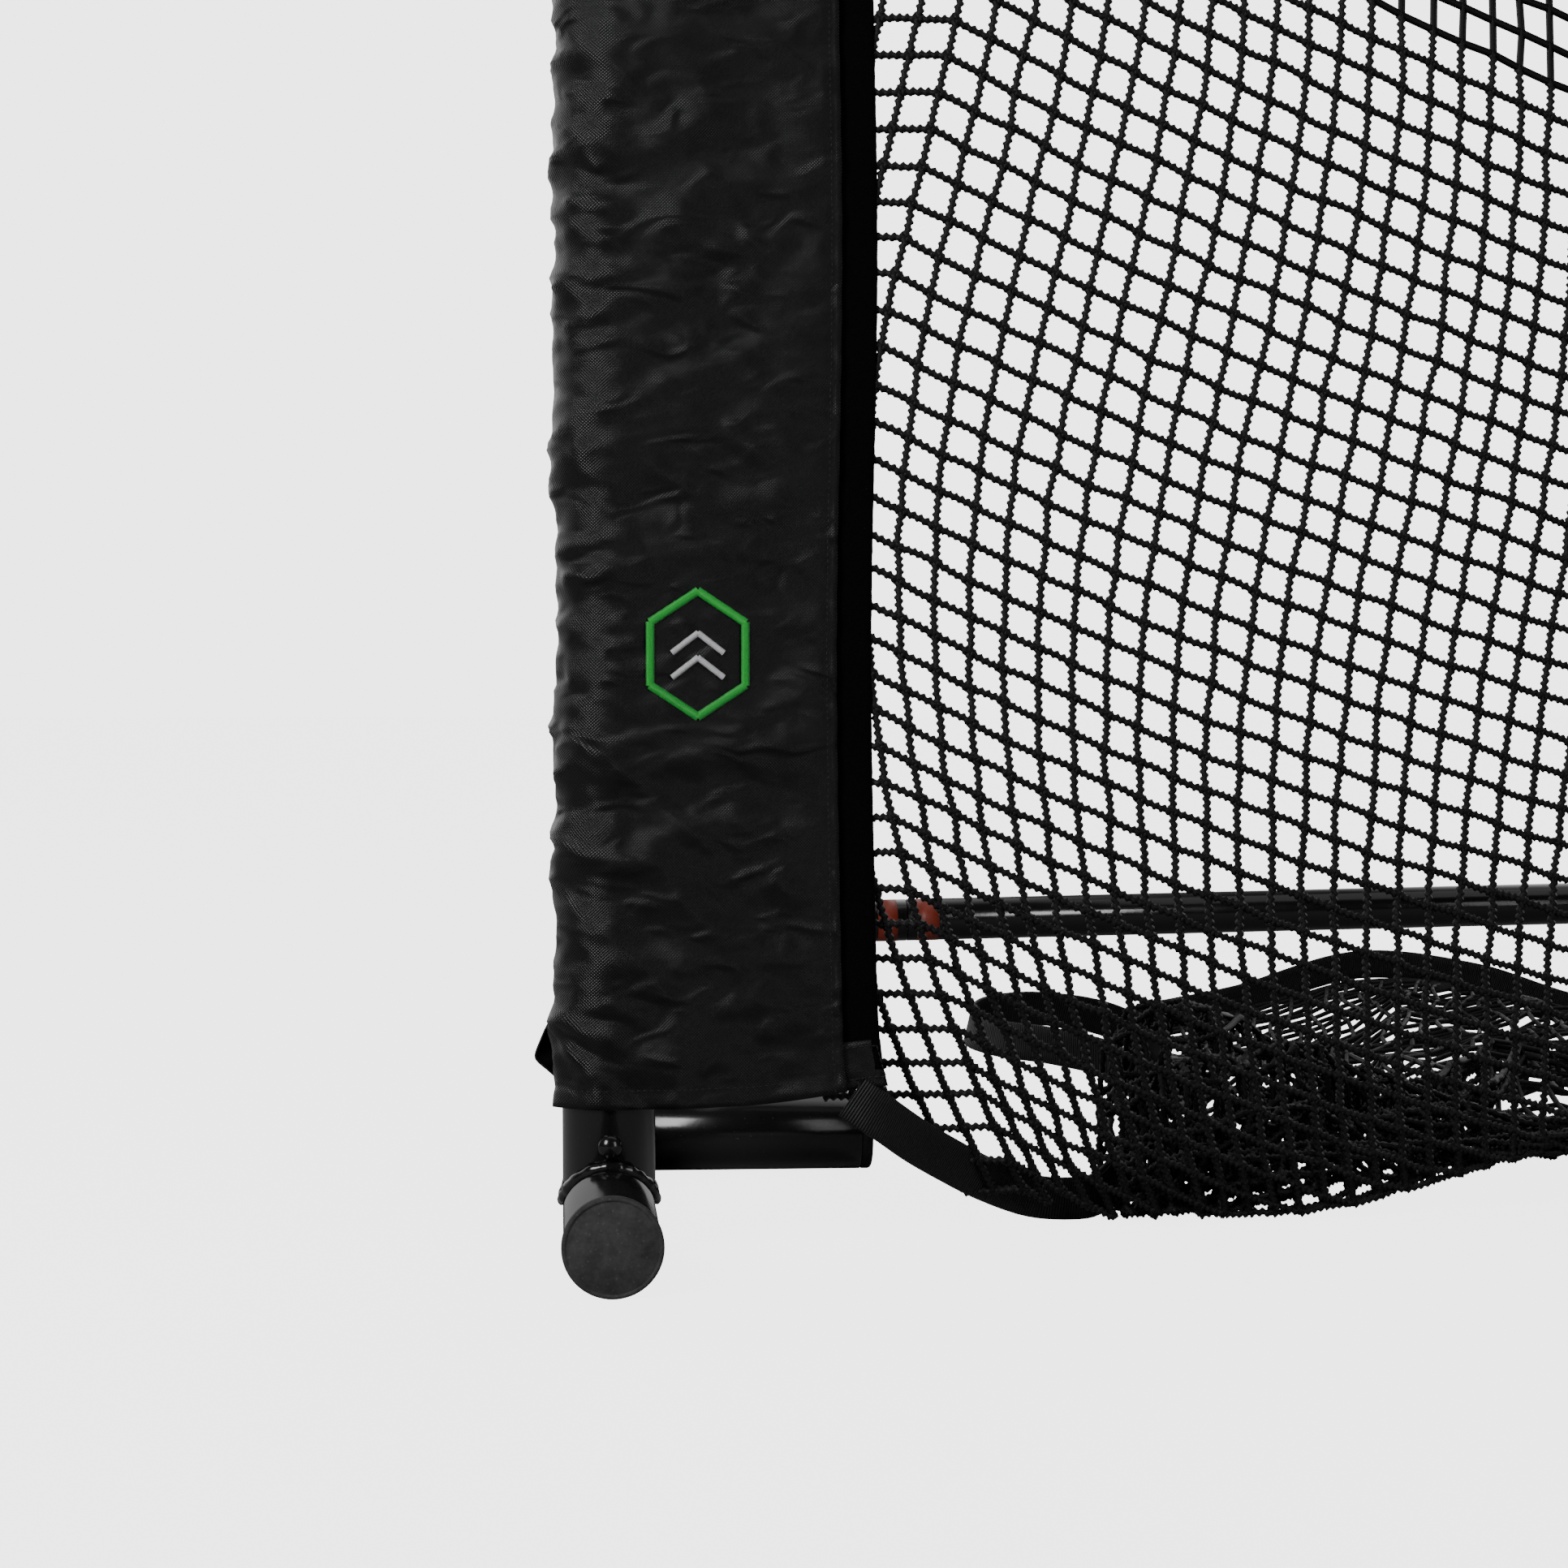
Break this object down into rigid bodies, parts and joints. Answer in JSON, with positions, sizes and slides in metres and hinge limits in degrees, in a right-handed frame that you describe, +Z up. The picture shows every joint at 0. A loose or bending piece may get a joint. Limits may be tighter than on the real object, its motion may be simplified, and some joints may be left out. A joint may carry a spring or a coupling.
{
  "type": "ball-return practice net",
  "caption": "Free-standing practice net: black tube frame on floor rails, cloth sleeves round the mouth, and a knit net that hangs in it and trails on the floor.",
  "frame": {"origin": "centre of the floor area the object covers, on the floor", "axes": "+X across the mouth to the right, +Y from the mouth back to the rear bar, +Z up"},
  "size_m": [3.0566, 1.6307, 2.4402],
  "materials": {
    "tube": "glossy black powder coat",
    "weld": "glossy black powder coat over a lumpy bead",
    "rubber": "matte, dusty",
    "button": "glossy black",
    "spring": "satin",
    "sleeve_cloth": "coated oxford weave, satin",
    "hook_tape": "matte pile",
    "net": "knit twine, matte",
    "webbing": "ribbed webbing, satin"
  },
  "bodies": {
    "frame": {"base_rail_left": "tube", "base_rail_right": "tube", "cross_foot_cap_left": "rubber", "cross_foot_cap_right": "rubber", "cross_foot_left": "tube", "cross_foot_right": "tube", "front_foot_cap_left": "rubber", "front_foot_cap_right": "rubber", "hook_tape_left": "hook_tape", "hook_tape_right": "hook_tape", "hook_tape_top": "hook_tape", "leaf_spring_rail_left": "spring", "leaf_spring_rail_right": "spring", "leaf_spring_rear_corner_left": "spring", "leaf_spring_rear_corner_right": "spring", "leaf_spring_rear_middle": "spring", "leaf_spring_socket_left": "spring", "leaf_spring_socket_right": "spring", "leaf_spring_top_corner_left": "spring", "leaf_spring_top_corner_right": "spring", "leaf_spring_top_middle": "spring", "leaf_spring_upright_left": "spring", "leaf_spring_upright_right": "spring", "lower_upright_left": "tube", "lower_upright_right": "tube", "net_left": "net", "net_middle": "net", "net_right": "net", "net_skirt": "net", "rear_bar_left": "tube", "rear_bar_right": "tube", "rear_corner_left": "tube", "rear_corner_right": "tube", "sleeve_left": "sleeve_cloth", "sleeve_right": "sleeve_cloth", "sleeve_top": "sleeve_cloth", "socket_weld_left": "weld", "socket_weld_right": "weld", "top_bar_left": "tube", "top_bar_right": "tube", "upper_upright_left": "tube", "upper_upright_right": "tube", "upright_socket_left": "tube", "upright_socket_right": "tube", "webbing_hem": "webbing"},
    "button_rail_left": {"snap_button_rail_left": "button"},
    "button_rail_right": {"snap_button_rail_right": "button"},
    "button_rear_corner_left": {"snap_button_rear_corner_left": "button"},
    "button_rear_corner_right": {"snap_button_rear_corner_right": "button"},
    "button_rear_middle": {"snap_button_rear_middle": "button"},
    "button_socket_left": {"snap_button_socket_left": "button"},
    "button_socket_right": {"snap_button_socket_right": "button"},
    "button_top_corner_left": {"snap_button_top_corner_left": "button"},
    "button_top_corner_right": {"snap_button_top_corner_right": "button"},
    "button_top_middle": {"snap_button_top_middle": "button"},
    "button_upright_left": {"snap_button_upright_left": "button"},
    "button_upright_right": {"snap_button_upright_right": "button"}
  },
  "joints": [
    {"name": "press_rail_left", "type": "slide", "parent": "frame", "child": "button_rail_left", "axis": [0, 0, -1], "range_m": [0, 0.0066], "stiffness_N_per_m": 3000, "springref_m": -0.001, "deforming": ["leaf_spring_rail_left"]},
    {"name": "press_rail_right", "type": "slide", "parent": "frame", "child": "button_rail_right", "axis": [0, 0, -1], "range_m": [0, 0.0066], "stiffness_N_per_m": 3000, "springref_m": -0.001, "deforming": ["leaf_spring_rail_right"]},
    {"name": "press_rear_corner_left", "type": "slide", "parent": "frame", "child": "button_rear_corner_left", "axis": [0.0192, 0, -0.9998], "range_m": [0, 0.0066], "stiffness_N_per_m": 3000, "springref_m": -0.001, "deforming": ["leaf_spring_rear_corner_left"]},
    {"name": "press_rear_corner_right", "type": "slide", "parent": "frame", "child": "button_rear_corner_right", "axis": [-0.0192, 0, -0.9998], "range_m": [0, 0.0066], "stiffness_N_per_m": 3000, "springref_m": -0.001, "deforming": ["leaf_spring_rear_corner_right"]},
    {"name": "press_rear_middle", "type": "slide", "parent": "frame", "child": "button_rear_middle", "axis": [-0.0192, 0, -0.9998], "range_m": [0, 0.0066], "stiffness_N_per_m": 3000, "springref_m": -0.001, "deforming": ["leaf_spring_rear_middle"]},
    {"name": "press_socket_left", "type": "slide", "parent": "frame", "child": "button_socket_left", "axis": [0, 1, 0], "range_m": [0, 0.0066], "stiffness_N_per_m": 3000, "springref_m": -0.001, "deforming": ["leaf_spring_socket_left"]},
    {"name": "press_socket_right", "type": "slide", "parent": "frame", "child": "button_socket_right", "axis": [0, 1, 0], "range_m": [0, 0.0066], "stiffness_N_per_m": 3000, "springref_m": -0.001, "deforming": ["leaf_spring_socket_right"]},
    {"name": "press_top_corner_left", "type": "slide", "parent": "frame", "child": "button_top_corner_left", "axis": [0, 0, 1], "range_m": [0, 0.0066], "stiffness_N_per_m": 3000, "springref_m": -0.001, "deforming": ["leaf_spring_top_corner_left"]},
    {"name": "press_top_corner_right", "type": "slide", "parent": "frame", "child": "button_top_corner_right", "axis": [0, 0, 1], "range_m": [0, 0.0066], "stiffness_N_per_m": 3000, "springref_m": -0.001, "deforming": ["leaf_spring_top_corner_right"]},
    {"name": "press_top_middle", "type": "slide", "parent": "frame", "child": "button_top_middle", "axis": [0, 0, 1], "range_m": [0, 0.0066], "stiffness_N_per_m": 3000, "springref_m": -0.001, "deforming": ["leaf_spring_top_middle"]},
    {"name": "press_upright_left", "type": "slide", "parent": "frame", "child": "button_upright_left", "axis": [-1, 0, 0], "range_m": [0, 0.0066], "stiffness_N_per_m": 3000, "springref_m": -0.001, "deforming": ["leaf_spring_upright_left"]},
    {"name": "press_upright_right", "type": "slide", "parent": "frame", "child": "button_upright_right", "axis": [1, 0, 0], "range_m": [0, 0.0066], "stiffness_N_per_m": 3000, "springref_m": -0.001, "deforming": ["leaf_spring_upright_right"]}
  ]
}
